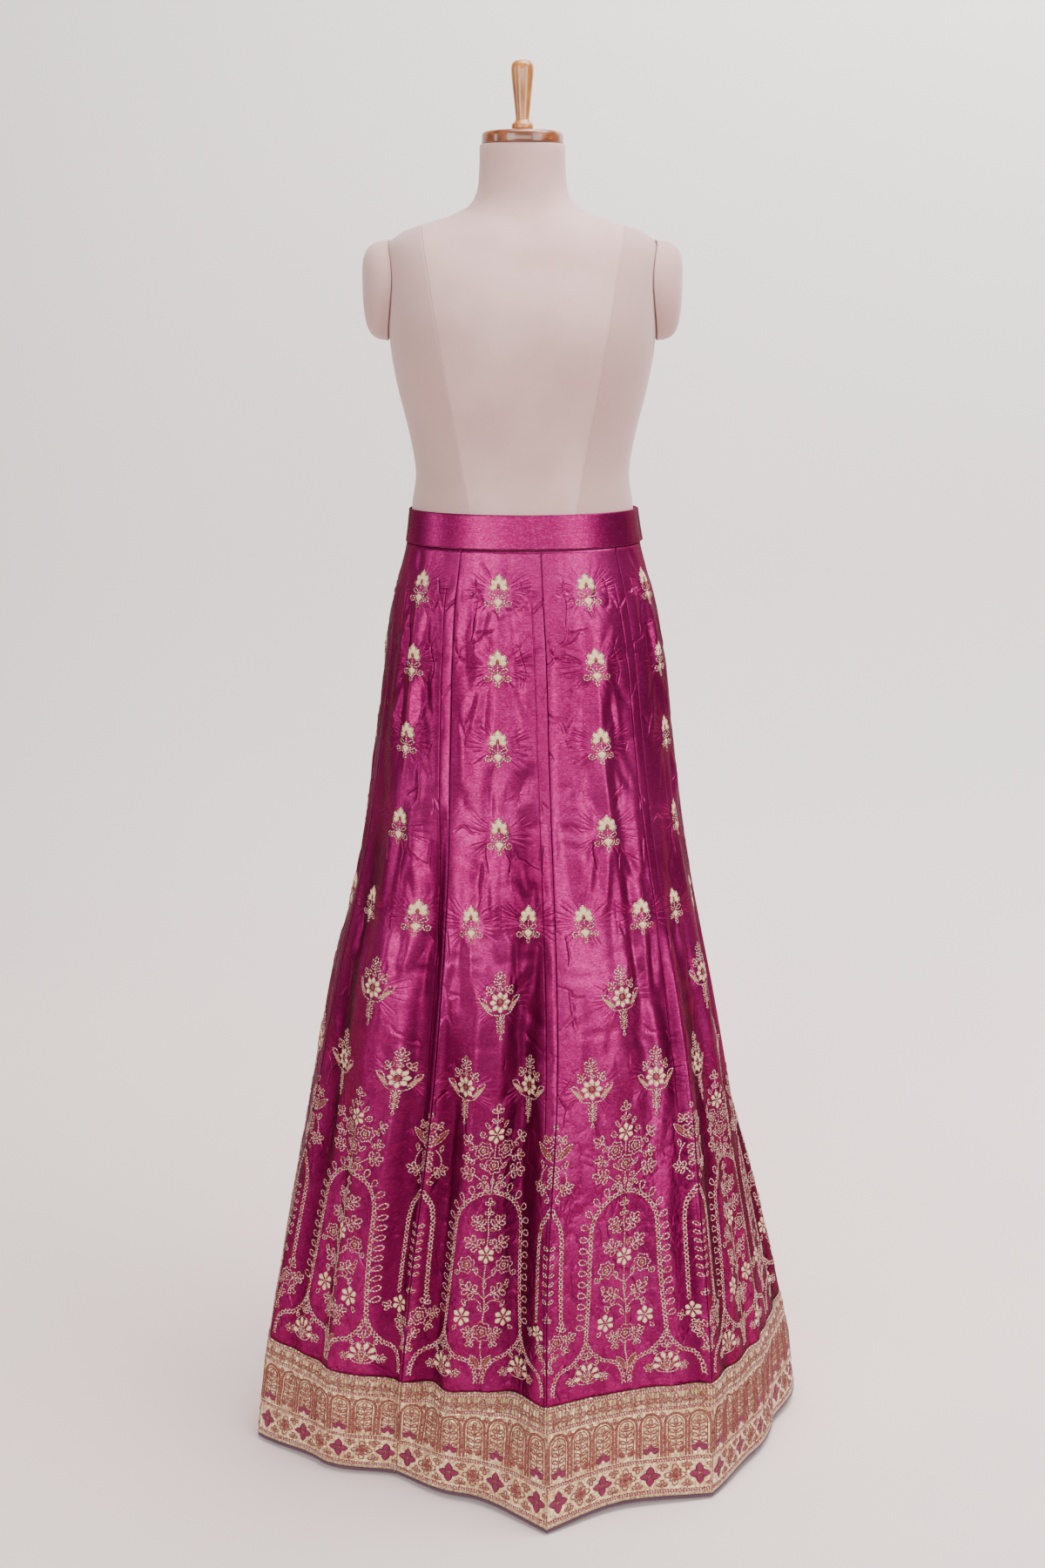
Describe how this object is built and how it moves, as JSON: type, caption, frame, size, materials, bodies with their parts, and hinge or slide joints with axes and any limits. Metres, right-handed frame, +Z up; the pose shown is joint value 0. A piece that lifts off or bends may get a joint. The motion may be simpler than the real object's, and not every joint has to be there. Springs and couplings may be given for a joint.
{
  "type": "lehenga skirt on dress form",
  "caption": "Floor-length flared skirt of gores with an embroidered gold border and an open hem, standing on a limbless dress form with a pole and a round base.",
  "frame": {"origin": "the centre of the stand base's underside, on the floor under the form's pole", "axes": "+Z up, -Y out of the front of the skirt, +X to the viewer's right (the wearer's left)"},
  "size_m": [0.6666, 0.5477, 1.6081],
  "materials": {
    "taffeta": "shot silk taffeta, crisp and glossy",
    "brocade": "gold satin cloth under dense thread work",
    "thread": "copper and silver metal thread embroidery with cream silk petals",
    "piping": "dark folded satin strip",
    "jersey": "matt knitted cover",
    "handle_wood": "varnished, amber",
    "disc_wood": "varnished, red brown",
    "stand_enamel": "black enamel"
  },
  "bodies": {
    "root": {"gore_01": "taffeta", "gore_02": "taffeta", "gore_03": "taffeta", "gore_04": "taffeta", "gore_05": "taffeta", "gore_06": "taffeta", "gore_07": "taffeta", "gore_08": "taffeta", "gore_09": "taffeta", "border_01": "brocade", "border_02": "brocade", "border_03": "brocade", "border_04": "brocade", "border_05": "brocade", "border_06": "brocade", "border_07": "brocade", "border_08": "brocade", "border_09": "brocade", "hem_piping_01": "piping", "hem_piping_02": "piping", "hem_piping_03": "piping", "hem_piping_04": "piping", "hem_piping_05": "piping", "hem_piping_06": "piping", "hem_piping_07": "piping", "hem_piping_08": "piping", "hem_piping_09": "piping", "waistband": "taffeta", "form_body": "jersey", "shoulder_cap_left": "jersey", "shoulder_cap_right": "jersey", "neck_disc": "disc_wood", "neck_handle": "handle_wood", "stand_pole": "stand_enamel", "stand_base": "stand_enamel"}
  },
  "joints": []
}
